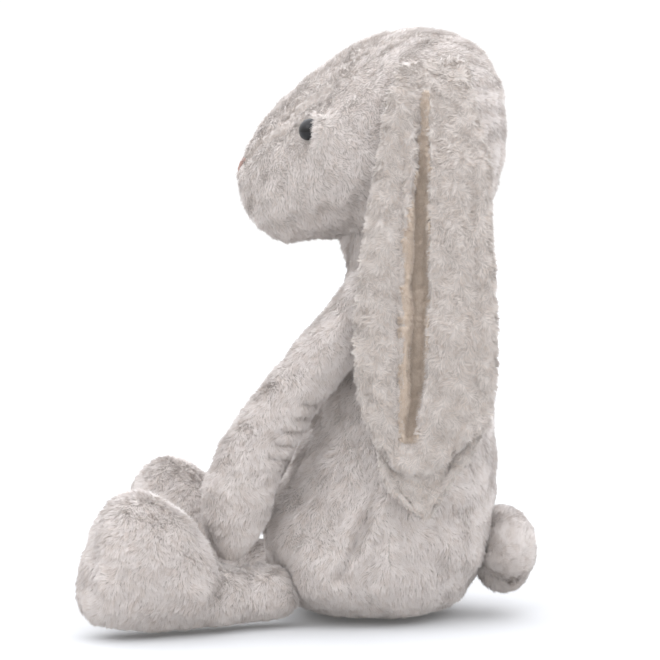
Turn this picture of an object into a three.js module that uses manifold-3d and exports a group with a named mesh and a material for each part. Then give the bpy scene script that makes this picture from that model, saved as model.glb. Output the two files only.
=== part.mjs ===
// A sitting plush rabbit with long lop ears, sewn from pile-fabric panels over stuffing.
// Millimetres, +Z up. The rabbit faces -Y, its left side is +X, and it sits on Z = 0.
// Every sewn panel is an open shell, every stuffing a closed filling inside its panels.
import * as THREE from 'three';
import { mergeVertices } from 'three/addons/utils/BufferGeometryUtils.js';
import Module from 'manifold-3d';

// ---- Driving dimensions ----
const PLUSH = 4.5;              // thickness of pile fabric, backing and pile together
const SEAM_GAP = 0.6;           // clear space between two panels at a seam
const FILL_GAP = 0.7;           // clear space between a panel and the stuffing behind it
const DEPTH_CENTRE = 5;         // middle of the rabbit's depth, before it is centred on Y = 0

const SEAT_RIM_HEIGHT = 11;     // height where the seat base meets the body panels
const SEAT_RADIUS = 41;         // flat area that the rabbit sits on
const NECK_TOP = 264;           // top of the body's neck opening
// Body outline: height, middle of its depth, half width, half depth.
const TORSO_STATIONS = [
  [SEAT_RIM_HEIGHT, 51, 68, 66],
  [30, 51, 83, 79],
  [56, 55, 88, 87],
  [86, 60, 87, 84],
  [124, 68, 80, 77],
  [161, 73, 69, 69],
  [199, 76, 58, 63],
  [236, 78, 49, 57],
  [248, 79, 44, 50],
  [257, 79, 33, 35],
  [NECK_TOP, 79, 22, 23],
];

const HEAD_CENTRE = [60, 352];  // depth and height of the middle of the head
const HEAD_HALF_WIDTH = 78;
const HEAD_ROUNDING = 0.9;      // below 1, the head is fuller than an ellipsoid
const MUZZLE_NARROWING = 0.3;   // how much the face tapers sideways towards the nose
// Head outline in side view, from the nose over the crown and back under the chin.
const HEAD_OUTLINE = [
  [-51, 330], [-47, 349], [-35, 370], [-13, 394], [12, 414], [40, 431], [80, 441.5],
  [112, 437], [136, 421], [149, 394], [151.5, 362], [147, 333], [138, 308], [124, 287],
  [104, 276.5], [78, 275], [50, 275.5], [33, 278], [18, 283], [-6, 277.5], [-29, 280],
  [-45, 300],
];
// Half angle of the strip that runs over the head: direction in side view, half angle.
const GUSSET_STATIONS = [
  [-44, 8], [-20, 13], [30, 17], [90, 25], [140, 31], [165, 30], [180, 17], [192, 9],
];
const NECK_HOLE_ANGLE = 33;     // half angle of the head's neck opening
const NECK_HOLE_SPAN = [32, 126];

const EYE_RADIUS = 8.2;
const EYE_HEIGHT = 6.4;
const EYE_STEM_RADIUS = 2.2;
const EYE_STEM_LENGTH = 12;
const EYE_WASHER_RADIUS = 9;
const EYE_PLACE = [6.5, 363.2]; // depth and height
const NOSE_WIDTH = 17;
const NOSE_HEIGHT = 11;
const NOSE_DEPTH = 3;
const NOSE_PLACE = [-50.6, 338]; // depth and height
const NOSE_LEAN = 12;           // degrees that the pad faces upwards

// Middle line of the left arm, from the top of the shoulder to the tip of the paw.
const ARM_LINE = [
  [64, 63, 263.6], [64, 51, 247], [64.5, 22, 207], [65.5, -14, 161], [66.5, -42, 114],
  [67, -50, 85.5], [67, -51.5, 52.5],
];
// Arm: part of its length from the shoulder, radius.
const ARM_STATIONS = [
  [0, 3.5], [0.022, 13.5], [0.09, 21], [0.24, 22.5], [0.4, 23.5], [0.55, 25], [0.68, 26.5],
  [0.8, 26.5], [0.885, 24], [0.945, 18.5], [0.985, 10], [1, 4],
];

const HIP = [64, -30, 26];
const LEG_SPLAY = 25;           // degrees outward from straight ahead
const SOLE_START = 115.5;       // where the sole panel is sewn on
// Leg and foot: distance from the hip, bottom, top, half width.
const LEG_STATIONS = [
  [-22, 22, 30, 4], [-16, 10, 41, 15.5], [0, 3, 46.5, 22], [20, 2, 47.5, 24],
  [35.5, 1, 54, 27.5], [45, 0.5, 72, 32], [58.5, 0.2, 90, 36], [75, 0, 103.5, 38.5],
  [97, 0.6, 109.5, 39], [SOLE_START, 4, 101, 37], [130, 12, 82, 29], [137, 23, 58, 17],
  [139.5, 33, 45, 7],
];

// Ear, in the order of the names below. Depths run from the front edge to the back edge;
// the lean is the slope of the sheet where it lies on the head, and the channel's floor is
// its height as a part of the ear's thickness.
const EAR_COLUMNS = ['x', 'z', 'front', 'channelFront', 'channelBack', 'back', 'thickness',
  'lean', 'floor'];
const EAR_STATIONS = [
  [63, 410, 70, 84, 88, 124, 9, 50, 0.8],
  [70.5, 398, 66, 84, 89, 126, 12, 40, 0.7],
  [76.5, 384, 62, 84, 90, 128, 15, 27, 0.55],
  [81, 366, 58, 82, 91.5, 130, 18, 14, 0.45],
  [87, 335, 53.5, 80, 93, 133.4, 21, 6, 0.35],
  [92, 286, 45, 77, 93, 135, 23, 3, 0.3],
  [95, 230, 38.7, 76, 93, 138, 24, 0, 0.3],
  [96, 184, 41, 76, 90, 138.4, 24, 0, 0.3],
  [96, 154, 47, 75, 85, 136, 23, 0, 0.4],
  [96, 128, 55, 78, 85, 125, 20, 0, 0.85],
  [96.5, 105, 64, 80, 86, 110, 16, 0, 0.9],
  [98, 92, 76, 86, 89, 102, 11, 0, 0.9],
  [100, 86, 84, 88, 90, 94, 6, 0, 0.9],
];
const LINING_STATIONS = [3, 8]; // first and last ear station that the lining covers
const LINING_THICKNESS = 2.5;

const TAIL_CENTRE = [140, 50];  // depth and height
const TAIL_RADIUS = 31.5;
const BEAN_BAG = { bottom: 4.2, top: 14, halfWidth: 50, halfDepth: 48 };

const COLOURS = {
  plush: 0xe6dfda,
  fleece: 0xe9e2dc,
  lining: 0xd9cdc0,
  stuffing: 0xf4f4f2,
  beanBag: 0xc9c2b6,
  eye: 0x0b0a0a,
  washer: 0xeeeeee,
  nose: 0xd8a9a0,
};

// ---- General helpers ----
const radians = THREE.MathUtils.degToRad;

/** The value at t of a list of rows whose first column rises, straight between rows. */
function between(rows, t) {
  let i = 0;
  while (i < rows.length - 2 && t > rows[i + 1][0]) i += 1;
  const part = THREE.MathUtils.clamp((t - rows[i][0]) / (rows[i + 1][0] - rows[i][0]), 0, 1);
  return rows[i].map((value, k) => value + part * (rows[i + 1][k] - value));
}

/** One closed body through rings of equal point count. Each end is closed by a strip. */
function solidFromRings(rings) {
  const count = rings[0].length;
  const positions = rings.flat().flatMap((point) => [point.x, point.y, point.z]);
  const faces = [];
  for (let k = 0; k < rings.length - 1; k += 1) {
    for (let i = 0; i < count; i += 1) {
      const j = (i + 1) % count;
      const a = k * count + i;
      const b = k * count + j;
      faces.push([a, b, b + count], [a, b + count, a + count]);
    }
  }
  const last = (rings.length - 1) * count;
  for (let i = 0; i < count / 2 - 1; i += 1) {
    const j = count - 1 - i;
    faces.push([i, j, i + 1], [j, j - 1, i + 1]);
    faces.push([last + i, last + i + 1, last + j], [last + j, last + i + 1, last + j - 1]);
  }
  return outwardGeometry(positions, faces);
}

/** A geometry of shared vertices whose faces point out. */
function outwardGeometry(positions, faces) {
  const corner = (i) => new THREE.Vector3().fromArray(positions, 3 * i);
  const volume = faces.reduce(
    (sum, [a, b, c]) => sum + corner(a).dot(corner(b).cross(corner(c))), 0);
  const index = faces.flatMap(([a, b, c]) => (volume < 0 ? [a, c, b] : [a, b, c]));
  const geometry = new THREE.BufferGeometry();
  geometry.setAttribute('position', new THREE.Float32BufferAttribute(positions, 3));
  geometry.setIndex(index);
  geometry.computeVertexNormals();
  return geometry;
}

function material(colour, roughness = 0.95) {
  return new THREE.MeshStandardMaterial({ color: colour, roughness, metalness: 0 });
}

function namedMesh(name, geometry, colour, roughness) {
  const mesh = new THREE.Mesh(geometry, material(colour, roughness));
  mesh.name = name;
  return mesh;
}

/** The same geometry on the rabbit's other side. */
function mirrored(geometry) {
  const points = Array.from(geometry.attributes.position.array);
  const index = Array.from(geometry.index.array);
  const flipped = points.map((value, i) => (i % 3 === 0 ? -value : value));
  const faces = [];
  for (let i = 0; i < index.length; i += 3) {
    faces.push([index[i], index[i + 1], index[i + 2]]);
  }
  return outwardGeometry(flipped, faces);
}

/** A left and a right mesh from one left-side geometry. */
function pair(name, geometry, colour, roughness) {
  return [
    namedMesh(`${name}_left`, geometry, colour, roughness),
    namedMesh(`${name}_right`, mirrored(geometry), colour, roughness),
  ];
}

// ---- Stuffed tubes: torso, arms and legs ----
// A form gives, at a distance s along it, its middle, its two half sizes and their directions.

function formPoint(form, s, angle, inset) {
  const { middle, across, up, halfAcross, halfUp } = form(s);
  return middle.clone()
    .addScaledVector(across, Math.max(halfAcross - inset, 1) * Math.cos(angle))
    .addScaledVector(up, Math.max(halfUp - inset, 1) * Math.sin(angle));
}

/** Angles from start to end in even steps; the seam gap is left at both ends. */
function panelAngles(form, s, start, end, steps) {
  const { halfAcross, halfUp } = form(s);
  const margin = SEAM_GAP / 2 / Math.max(Math.min(halfAcross, halfUp), 3);
  return Array.from({ length: steps + 1 }, (_, i) => {
    const whole = start + ((end - start) * i) / steps;
    if (i === 0) return whole + margin;
    if (i === steps) return whole - margin;
    return whole;
  });
}

/** A sewn panel that covers the form between two seams along it. */
function tubePanel(form, places, start, end, steps) {
  return solidFromRings(places.map((s) => {
    const angles = panelAngles(form, s, start, end, steps);
    const outer = angles.map((angle) => formPoint(form, s, angle, 0));
    const inner = angles.map((angle) => formPoint(form, s, angle, PLUSH));
    return [...outer, ...inner.reverse()];
  }));
}

/** A ring round the form whose points line up with those of the panels. */
function closedRing(form, s, steps, inset, shift = 0) {
  return Array.from({ length: steps }, (_, i) => (
    formPoint(form, s, (2 * Math.PI * i) / steps - Math.PI / 2, inset)
      .add(form(s).along.clone().multiplyScalar(shift))));
}

/** The stuffing inside a form, between two places along it; its last ring may be smaller. */
function tubeFill(form, places, steps, lastExtra = 0) {
  const last = places.length - 1;
  return solidFromRings(places.map((s, i) => (
    closedRing(form, s, steps, PLUSH + FILL_GAP + (i === last ? lastExtra : 0)))));
}

/** A bowl-shaped panel that closes the far end of a form. */
function tubeBowl(form, places, steps) {
  const rim = places[0];
  const tip = places[places.length - 1];
  const setBack = (s) => (-PLUSH * (s - rim)) / (tip - rim);
  const inner = places.map((s) => closedRing(form, s, steps, PLUSH, setBack(s))).reverse();
  const outer = places.map((s) => closedRing(form, s, steps, 0));
  return solidFromRings([...inner, ...outer]);
}

// ---- Torso ----
const QUARTER_STEPS = 5;
const TORSO_STEPS = 4 * QUARTER_STEPS;
const UP = new THREE.Vector3(0, 0, 1);
const LEFT = new THREE.Vector3(1, 0, 0);
const BACK = new THREE.Vector3(0, 1, 0);

function torsoForm(z) {
  const [, depth, halfWidth, halfDepth] = between(TORSO_STATIONS, z);
  return {
    middle: new THREE.Vector3(0, depth, z),
    across: LEFT,
    up: BACK,
    along: UP,
    halfAcross: halfWidth,
    halfUp: halfDepth,
  };
}

function torsoPanels() {
  const places = TORSO_STATIONS.map(([z]) => z);
  places[0] += SEAM_GAP;
  const quarter = Math.PI / 2;
  const names = ['back_panel_left', 'back_panel_right', 'front_panel_right', 'front_panel_left'];
  return names.map((name, i) => namedMesh(
    name,
    tubePanel(torsoForm, places, i * quarter, (i + 1) * quarter, QUARTER_STEPS),
    COLOURS.plush));
}

function torsoRing(z, halfWidth, halfDepth) {
  const depth = torsoForm(SEAT_RIM_HEIGHT).middle.y;
  return Array.from({ length: TORSO_STEPS }, (_, i) => {
    const angle = (2 * Math.PI * i) / TORSO_STEPS;
    return new THREE.Vector3(halfWidth * Math.cos(angle), depth + halfDepth * Math.sin(angle), z);
  });
}

/** The dish that closes the body below, flat where the rabbit sits. */
function seatBase() {
  const [, , rimWidth, rimDepth] = TORSO_STATIONS[0];
  const rim = SEAT_RIM_HEIGHT;
  return namedMesh('seat_base', solidFromRings([
    torsoRing(3, SEAT_RADIUS - 2, SEAT_RADIUS),
    torsoRing(rim, rimWidth - PLUSH, rimDepth - PLUSH),
    torsoRing(rim, rimWidth, rimDepth),
    torsoRing(0, SEAT_RADIUS, SEAT_RADIUS + 2),
  ]), COLOURS.plush);
}

function beanBag() {
  const { bottom, top, halfWidth, halfDepth } = BEAN_BAG;
  return namedMesh('seat_bean_bag', solidFromRings([
    torsoRing(bottom, halfWidth - 14, halfDepth - 14),
    torsoRing((bottom + top) / 2, halfWidth - 6, halfDepth - 6),
    torsoRing(top, halfWidth, halfDepth),
  ]), COLOURS.beanBag);
}

function torsoStuffing() {
  const places = TORSO_STATIONS.map(([z]) => z);
  places[0] = BEAN_BAG.top + 1;
  places[places.length - 1] = NECK_TOP - 2;
  return namedMesh('body_stuffing', tubeFill(torsoForm, places, TORSO_STEPS), COLOURS.stuffing);
}

// ---- Head ----
const HEAD_FILL_GAP = 3.5;       // the head's fillings and panels have different facets
const HEAD_STEPS = 26;
const HEAD_ROWS = 6;

const headCurve = new THREE.CatmullRomCurve3(
  HEAD_OUTLINE.map(([y, z]) => new THREE.Vector3(0, y, z)), true, 'centripetal');
const headOutline = headCurve.getSpacedPoints(HEAD_STEPS).slice(0, HEAD_STEPS);

/** Direction of an outline point from the head's middle, in degrees; 90 is straight up. */
function headDirection(point) {
  const angle = THREE.MathUtils.radToDeg(
    Math.atan2(point.z - HEAD_CENTRE[1], point.y - HEAD_CENTRE[0]));
  return angle < -90 ? angle + 360 : angle;
}

/** A point of the head: a place on the outline, and an angle towards the left cheek. */
function headPoint(outlinePoint, angle, inset) {
  const middle = new THREE.Vector3(0, HEAD_CENTRE[0], HEAD_CENTRE[1]);
  const reach = outlinePoint.clone().sub(middle);
  const front = THREE.MathUtils.clamp(-reach.y / 110, 0, 1);
  const narrowing = 1 - MUZZLE_NARROWING * front * Math.cos(angle);
  const length = reach.length();
  reach.multiplyScalar((length - inset) / length * Math.cos(angle) ** HEAD_ROUNDING);
  reach.x = (HEAD_HALF_WIDTH - inset) * Math.sin(angle) * narrowing;
  return middle.add(reach);
}

/** Half angle of the neck opening at an outline point, 0 away from the neck. */
function neckHoleAngle(point) {
  const [front, back] = NECK_HOLE_SPAN;
  const part = (2 * point.y - front - back) / (back - front);
  if (point.z > 300 || Math.abs(part) >= 1) return 0;
  return radians(NECK_HOLE_ANGLE) * Math.sqrt(1 - part * part);
}

function inGusset(point) {
  const direction = headDirection(point);
  const [first] = GUSSET_STATIONS[0];
  const [last] = GUSSET_STATIONS[GUSSET_STATIONS.length - 1];
  return direction >= first && direction <= last;
}

/** Angle where a side panel of the head begins, at an outline point. */
function headEdgeAngle(point) {
  if (inGusset(point)) return radians(between(GUSSET_STATIONS, headDirection(point))[1]);
  return neckHoleAngle(point);
}

/** An angle turned by a distance on the head's surface. */
function turnedBy(point, angle, distance) {
  const reach = Math.hypot(point.y - HEAD_CENTRE[0], point.z - HEAD_CENTRE[1]);
  return angle + distance / Math.min(reach, HEAD_HALF_WIDTH);
}

function headSideRing(row, inset) {
  const poleAngle = radians(87);
  return headOutline.map((point) => {
    const edge = turnedBy(point, headEdgeAngle(point), SEAM_GAP);
    return headPoint(point, edge + ((poleAngle - edge) * row) / HEAD_ROWS, inset);
  });
}

function headSideGeometry() {
  const rows = Array.from({ length: HEAD_ROWS + 1 }, (_, row) => row);
  const inner = rows.map((row) => headSideRing(row, PLUSH)).reverse();
  const outer = rows.map((row) => headSideRing(row, 0));
  return solidFromRings([...inner, ...outer]);
}

function headGusset() {
  const strip = headOutline.filter(inGusset)
    .sort((a, b) => headDirection(a) - headDirection(b));
  const across = [-1, -0.5, 0, 0.5, 1];
  return namedMesh('head_gusset', solidFromRings(strip.map((point) => {
    const edge = turnedBy(point, headEdgeAngle(point), -SEAM_GAP);
    const outer = across.map((part) => headPoint(point, part * edge, 0));
    const inner = across.map((part) => headPoint(point, part * edge, PLUSH));
    return [...outer, ...inner.reverse()];
  })), COLOURS.plush);
}

function headStuffing() {
  const rings = [];
  const rows = HEAD_ROWS + 1;
  for (let row = -rows; row <= rows; row += 1) {
    const angle = radians(86.5) * (row / rows);
    rings.push(headOutline.map((point) => headPoint(point, angle, PLUSH + HEAD_FILL_GAP)));
  }
  return namedMesh('head_stuffing', solidFromRings(rings), COLOURS.stuffing);
}

// ---- Booleans, for the eyes' holes and the tail's seat on the body ----
const wasm = await Module();
wasm.setup();

function asManifold(geometry) {
  const bare = new THREE.BufferGeometry();
  bare.setAttribute('position', geometry.attributes.position.clone());
  bare.setIndex(geometry.index.clone());
  const merged = mergeVertices(bare, 1e-4);
  return new wasm.Manifold(new wasm.Mesh({
    numProp: 3,
    vertProperties: merged.attributes.position.array,
    triVerts: Uint32Array.from(merged.index.array),
  }));
}

function withCut(geometry, ...tools) {
  const solid = tools.reduce(
    (rest, tool) => rest.subtract(asManifold(tool)), asManifold(geometry));
  const { vertProperties, triVerts } = solid.getMesh();
  const cut = new THREE.BufferGeometry();
  cut.setAttribute('position', new THREE.Float32BufferAttribute(vertProperties, 3));
  cut.setIndex(Array.from(triVerts));
  cut.computeVertexNormals();
  return cut;
}

// ---- Eyes and nose ----

/** The head's surface at a depth and a height, on the left side. */
function headSurfaceAt(depth, height) {
  const dy = depth - HEAD_CENTRE[0];
  const dz = height - HEAD_CENTRE[1];
  const wanted = Math.atan2(dz, dy);
  const offset = (p) => {
    const angle = Math.atan2(p.z - HEAD_CENTRE[1], p.y - HEAD_CENTRE[0]) - wanted;
    return Math.abs(Math.atan2(Math.sin(angle), Math.cos(angle)));
  };
  const nearest = headCurve.getPoints(2000).reduce((a, b) => (offset(a) < offset(b) ? a : b));
  const reach = Math.hypot(nearest.y - HEAD_CENTRE[0], nearest.z - HEAD_CENTRE[1]);
  const angle = Math.acos((Math.hypot(dy, dz) / reach) ** (1 / HEAD_ROUNDING));
  return headPoint(nearest, angle, 0);
}

function headNormalAt(depth, height) {
  const step = 4;
  const alongDepth = headSurfaceAt(depth + step, height).sub(headSurfaceAt(depth - step, height));
  const alongHeight = headSurfaceAt(depth, height + step)
    .sub(headSurfaceAt(depth, height - step));
  return alongDepth.cross(alongHeight).normalize();
}

/** A turned shape that stands on a place, with its axis along a direction. */
function turned(profile, place, direction, steps) {
  const points = profile.map(([radius, height]) => new THREE.Vector2(radius, height));
  const geometry = new THREE.LatheGeometry(points, steps);
  geometry.applyQuaternion(new THREE.Quaternion().setFromUnitVectors(BACK, direction));
  geometry.translate(place.x, place.y, place.z);
  return geometry;
}

function dome(radius, base, height, steps) {
  return Array.from({ length: steps + 1 }, (_, i) => {
    const angle = (Math.PI / 2) * (i / steps);
    return [i === steps ? 0 : radius * Math.cos(angle), base + height * Math.sin(angle)];
  });
}

const eyePlace = headSurfaceAt(...EYE_PLACE);
const eyeDirection = headNormalAt(...EYE_PLACE);
const EYE_STEPS = 16;
const EYE_LIFT = 0.5;           // clear space between the skin and the eye's flat back

function eyeGeometry() {
  return turned([
    [0, -EYE_STEM_LENGTH], [EYE_STEM_RADIUS, -EYE_STEM_LENGTH], [EYE_STEM_RADIUS, EYE_LIFT],
    ...dome(EYE_RADIUS, EYE_LIFT, EYE_HEIGHT, 5),
  ], eyePlace, eyeDirection, EYE_STEPS);
}

const WASHER_TOP = -PLUSH - 2.2;  // clear of the cheek's curve
const WASHER_THICKNESS = 1.8;

function eyeWasherGeometry() {
  const hole = EYE_STEM_RADIUS + 0.35;
  const bottom = WASHER_TOP - WASHER_THICKNESS;
  return turned([
    [hole, bottom], [EYE_WASHER_RADIUS, bottom], [EYE_WASHER_RADIUS, WASHER_TOP],
    [hole, WASHER_TOP], [hole, bottom],
  ], eyePlace, eyeDirection, EYE_STEPS);
}

/** A straight cutter along the eye's axis, from a depth under the skin to outside it. */
function eyeCutter(radius, depth) {
  return turned([[0, -depth], [radius, -depth], [radius, 6], [0, 6]],
    eyePlace, eyeDirection, EYE_STEPS);
}

/** An embroidered pad on the muzzle, over the front end of the gusset. */
function nose() {
  const [depth, height] = NOSE_PLACE;
  const geometry = turned([[0, 0.6], ...dome(1, 0.6, NOSE_DEPTH, 4)],
    new THREE.Vector3(), BACK, 14);
  geometry.scale(NOSE_WIDTH / 2, 1, NOSE_HEIGHT / 2);
  geometry.rotateX(Math.PI - radians(NOSE_LEAN));
  geometry.translate(0, depth, height);
  return namedMesh('nose', geometry, COLOURS.nose, 0.8);
}

// ---- Arms ----
const ARM_STEPS = 7;            // facets across each half of an arm or leg

const armCurve = new THREE.CatmullRomCurve3(
  ARM_LINE.map((point) => new THREE.Vector3(...point)), false, 'centripetal');

function armForm(part) {
  const along = armCurve.getTangentAt(part);
  const [, radius] = between(ARM_STATIONS, part);
  const across = LEFT.clone().addScaledVector(along, -along.dot(LEFT)).normalize();
  return {
    middle: armCurve.getPointAt(part),
    across,
    up: along.clone().cross(across),
    along,
    halfAcross: radius,
    halfUp: radius,
  };
}

function arms() {
  const places = ARM_STATIONS.map(([part]) => part);
  const inside = places.slice(1, -3);
  const half = Math.PI / 2;
  return [
    ...pair('arm_outer', tubePanel(armForm, places, -half, half, ARM_STEPS), COLOURS.plush),
    ...pair('arm_inner', tubePanel(armForm, places, half, 3 * half, ARM_STEPS), COLOURS.plush),
    ...pair('arm_stuffing', tubeFill(armForm, inside, 2 * ARM_STEPS), COLOURS.stuffing),
  ];
}

// ---- Legs ----
const legAlong = new THREE.Vector3(Math.sin(radians(LEG_SPLAY)), -Math.cos(radians(LEG_SPLAY)), 0);
const legAcross = new THREE.Vector3(Math.cos(radians(LEG_SPLAY)), Math.sin(radians(LEG_SPLAY)), 0);

function legForm(s) {
  const [, bottom, top, halfWidth] = between(LEG_STATIONS, s);
  const middle = new THREE.Vector3(...HIP).addScaledVector(legAlong, s);
  middle.z = (bottom + top) / 2;
  return {
    middle,
    across: legAcross,
    up: UP,
    along: legAlong,
    halfAcross: halfWidth,
    halfUp: (top - bottom) / 2,
  };
}

function legs() {
  const places = LEG_STATIONS.map(([s]) => s);
  const panels = [...places.filter((s) => s < SOLE_START), SOLE_START - SEAM_GAP / 2];
  const sole = [SOLE_START + SEAM_GAP / 2, ...places.filter((s) => s > SOLE_START)];
  const inside = [...places.filter((s) => s > places[0] && s < SOLE_START), SOLE_START + 8];
  const half = Math.PI / 2;
  return [
    ...pair('leg_outer', tubePanel(legForm, panels, -half, half, ARM_STEPS), COLOURS.plush),
    ...pair('leg_inner', tubePanel(legForm, panels, half, 3 * half, ARM_STEPS), COLOURS.plush),
    ...pair('foot_sole', tubeBowl(legForm, sole, 2 * ARM_STEPS), COLOURS.plush),
    ...pair('leg_stuffing', tubeFill(legForm, inside, 2 * ARM_STEPS, 6), COLOURS.stuffing),
  ];
}

// ---- Ears ----
const ears = EAR_STATIONS.map((row) => Object.fromEntries(
  row.map((value, i) => [EAR_COLUMNS[i], value])));

/** A point of an ear's cross-section: a depth, and a height above its inner face. */
function earPoint(station, depth, rise) {
  const lean = radians(station.lean);
  return new THREE.Vector3(
    station.x + rise * Math.cos(lean), depth, station.z + rise * Math.sin(lean));
}

/** A folded sheet: a narrow roll in front, a channel, and a wide roll at the back. */
function earSection(station) {
  const { front, channelFront, channelBack, back, thickness, floor } = station;
  const frontRoll = channelFront - front;
  const backRoll = back - channelBack;
  const inner = [
    [front, 0.3], [front + 0.25 * frontRoll, 0.04], [channelFront, 0],
    [channelFront + 0.6, 0], [channelBack - 0.6, 0], [channelBack, 0],
    [channelBack + 0.5 * backRoll, 0], [back - 0.14 * backRoll, 0.08], [back, 0.38],
  ];
  const outer = [
    [front, 0.55], [front + 0.4 * frontRoll, 0.82], [channelFront, 0.62 + 0.2 * floor],
    [channelFront + 0.6, floor], [channelBack - 0.6, floor],
    [channelBack, 0.75 + 0.15 * floor], [channelBack + 0.5 * backRoll, 1],
    [back - 0.16 * backRoll, 0.9], [back, 0.62],
  ];
  return [...inner, ...outer.reverse()].map(
    ([depth, part]) => earPoint(station, depth, part * thickness));
}

function liningSection(station) {
  const low = station.floor * station.thickness + SEAM_GAP;
  const high = low + LINING_THICKNESS;
  const [front, back] = [station.channelFront + 1.6, station.channelBack - 1.6];
  return [[front, low], [back, low], [back, high], [front, high]].map(
    ([depth, rise]) => earPoint(station, depth, rise));
}

function earMeshes() {
  const lined = ears.slice(LINING_STATIONS[0], LINING_STATIONS[1] + 1);
  return [
    ...pair('ear_outer', solidFromRings(ears.map(earSection)), COLOURS.fleece),
    ...pair('ear_lining', solidFromRings(lined.map(liningSection)), COLOURS.lining),
  ];
}

// ---- Tail ----
function tail() {
  const ball = (radius) => {
    const geometry = new THREE.SphereGeometry(radius, 16, 10);
    geometry.rotateX(Math.PI / 2);
    geometry.translate(0, ...TAIL_CENTRE);
    return geometry;
  };
  const seat = solidFromRings(TORSO_STATIONS.map(
    ([z]) => closedRing(torsoForm, z, TORSO_STEPS, -SEAM_GAP)));
  return [
    namedMesh('tail_cover',
      withCut(ball(TAIL_RADIUS), seat, ball(TAIL_RADIUS - PLUSH)), COLOURS.plush),
    namedMesh('tail_stuffing',
      withCut(ball(TAIL_RADIUS - PLUSH - FILL_GAP), seat), COLOURS.stuffing),
  ];
}

// ---- The whole rabbit ----
const stemHole = eyeCutter(EYE_STEM_RADIUS + 0.4, EYE_STEM_LENGTH + 2);
const washerPocket = eyeCutter(EYE_WASHER_RADIUS + 0.7, EYE_STEM_LENGTH + 1.5);

function head() {
  const stuffing = headStuffing();
  stuffing.geometry = withCut(stuffing.geometry, washerPocket, mirrored(washerPocket));
  return [
    headGusset(),
    ...pair('head_side', withCut(headSideGeometry(), stemHole), COLOURS.plush),
    stuffing,
    ...pair('eye', eyeGeometry(), COLOURS.eye, 0.08),
    ...pair('eye_washer', eyeWasherGeometry(), COLOURS.washer, 0.5),
    nose(),
  ];
}

const rabbit = new THREE.Group();
rabbit.add(
  ...torsoPanels(), seatBase(), beanBag(), torsoStuffing(), ...head(), ...arms(), ...legs(),
  ...earMeshes(), ...tail());
rabbit.position.y = -DEPTH_CENTRE;

export default rabbit;
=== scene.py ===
"""Looks of a sitting plush rabbit: soft covers, seams, pile, eyes, nose, camera and light.

Lengths are in metres, in the row's frame: +Z up, the rabbit faces -Y, its left side is +X.
Every soft cover but the neck's is derived from the CAD solids of its part, and the pile grows on
the cover.
"""

import math

import bpy
import bmesh
import numpy as np
from mathutils import Matrix, Vector
from mathutils.bvhtree import BVHTree
from mathutils.kdtree import KDTree


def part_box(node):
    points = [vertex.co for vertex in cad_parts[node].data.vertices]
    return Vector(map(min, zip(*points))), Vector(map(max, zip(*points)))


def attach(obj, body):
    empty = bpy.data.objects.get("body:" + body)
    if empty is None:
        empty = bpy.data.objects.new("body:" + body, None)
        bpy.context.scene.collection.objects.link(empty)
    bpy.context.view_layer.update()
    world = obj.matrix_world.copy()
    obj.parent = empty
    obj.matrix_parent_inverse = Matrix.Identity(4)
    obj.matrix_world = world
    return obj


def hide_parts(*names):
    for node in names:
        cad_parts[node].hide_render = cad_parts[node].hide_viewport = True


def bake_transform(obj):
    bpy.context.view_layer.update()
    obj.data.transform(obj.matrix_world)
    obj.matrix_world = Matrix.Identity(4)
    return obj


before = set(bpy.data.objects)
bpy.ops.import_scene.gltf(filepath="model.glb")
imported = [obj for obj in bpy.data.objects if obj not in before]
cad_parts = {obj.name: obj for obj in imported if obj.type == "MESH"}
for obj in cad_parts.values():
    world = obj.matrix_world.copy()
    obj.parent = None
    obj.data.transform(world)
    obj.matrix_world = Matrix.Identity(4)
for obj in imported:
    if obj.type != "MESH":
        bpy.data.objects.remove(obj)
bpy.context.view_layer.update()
MM = 0.001
SIDES = {"left": 1.0, "right": -1.0}
scene = bpy.context.scene


# ---------------------------------------------------------------- small helpers
def smoothstep(low, high, value):
    part = np.clip((value - low) / (high - low), 0.0, 1.0)
    return part * part * (3.0 - 2.0 * part)


def unit(vectors):
    length = np.linalg.norm(vectors, axis=-1, keepdims=True)
    return vectors / np.maximum(length, 1e-12)


def waves(points, wavelength, seed, count=7):
    """Smooth noise from -1 to 1: a sum of plane waves of about one wavelength."""
    rng = np.random.default_rng(seed)
    directions = unit(rng.normal(size=(count, 3)))
    factors = rng.uniform(0.7, 1.4, size=count) * 2.0 * math.pi / wavelength
    phases = rng.uniform(0.0, 2.0 * math.pi, size=count)
    total = np.sin(points @ (directions * factors[:, None]).T + phases).sum(axis=1)
    return total / math.sqrt(count) / 1.2


def new_object(name, mesh):
    obj = bpy.data.objects.new(name, mesh)
    scene.collection.objects.link(obj)
    return obj


def coordinates(mesh):
    co = np.empty(len(mesh.vertices) * 3)
    mesh.vertices.foreach_get("co", co)
    return co.reshape(-1, 3)


def normals(mesh):
    directions = np.empty(len(mesh.vertices) * 3)
    mesh.vertices.foreach_get("normal", directions)
    return directions.reshape(-1, 3)


def set_coordinates(mesh, co):
    mesh.vertices.foreach_set("co", np.ascontiguousarray(co).ravel())
    mesh.update()


def shade_smooth(mesh):
    mesh.polygons.foreach_set("use_smooth", np.ones(len(mesh.polygons), bool))


def apply_modifiers(obj):
    """The object with its modifiers made part of its mesh."""
    depsgraph = bpy.context.evaluated_depsgraph_get()
    made = bpy.data.meshes.new_from_object(obj.evaluated_get(depsgraph))
    made.name = obj.name
    obj.modifiers.clear()
    obj.data = made
    return obj


def blob(points, centre, radii):
    """1 at a centre, fading to 0 over about the radii. Lengths are in mm."""
    reach = (points / MM - np.array(centre)) / np.array(radii)
    return np.exp(-(reach * reach).sum(axis=1))


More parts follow.
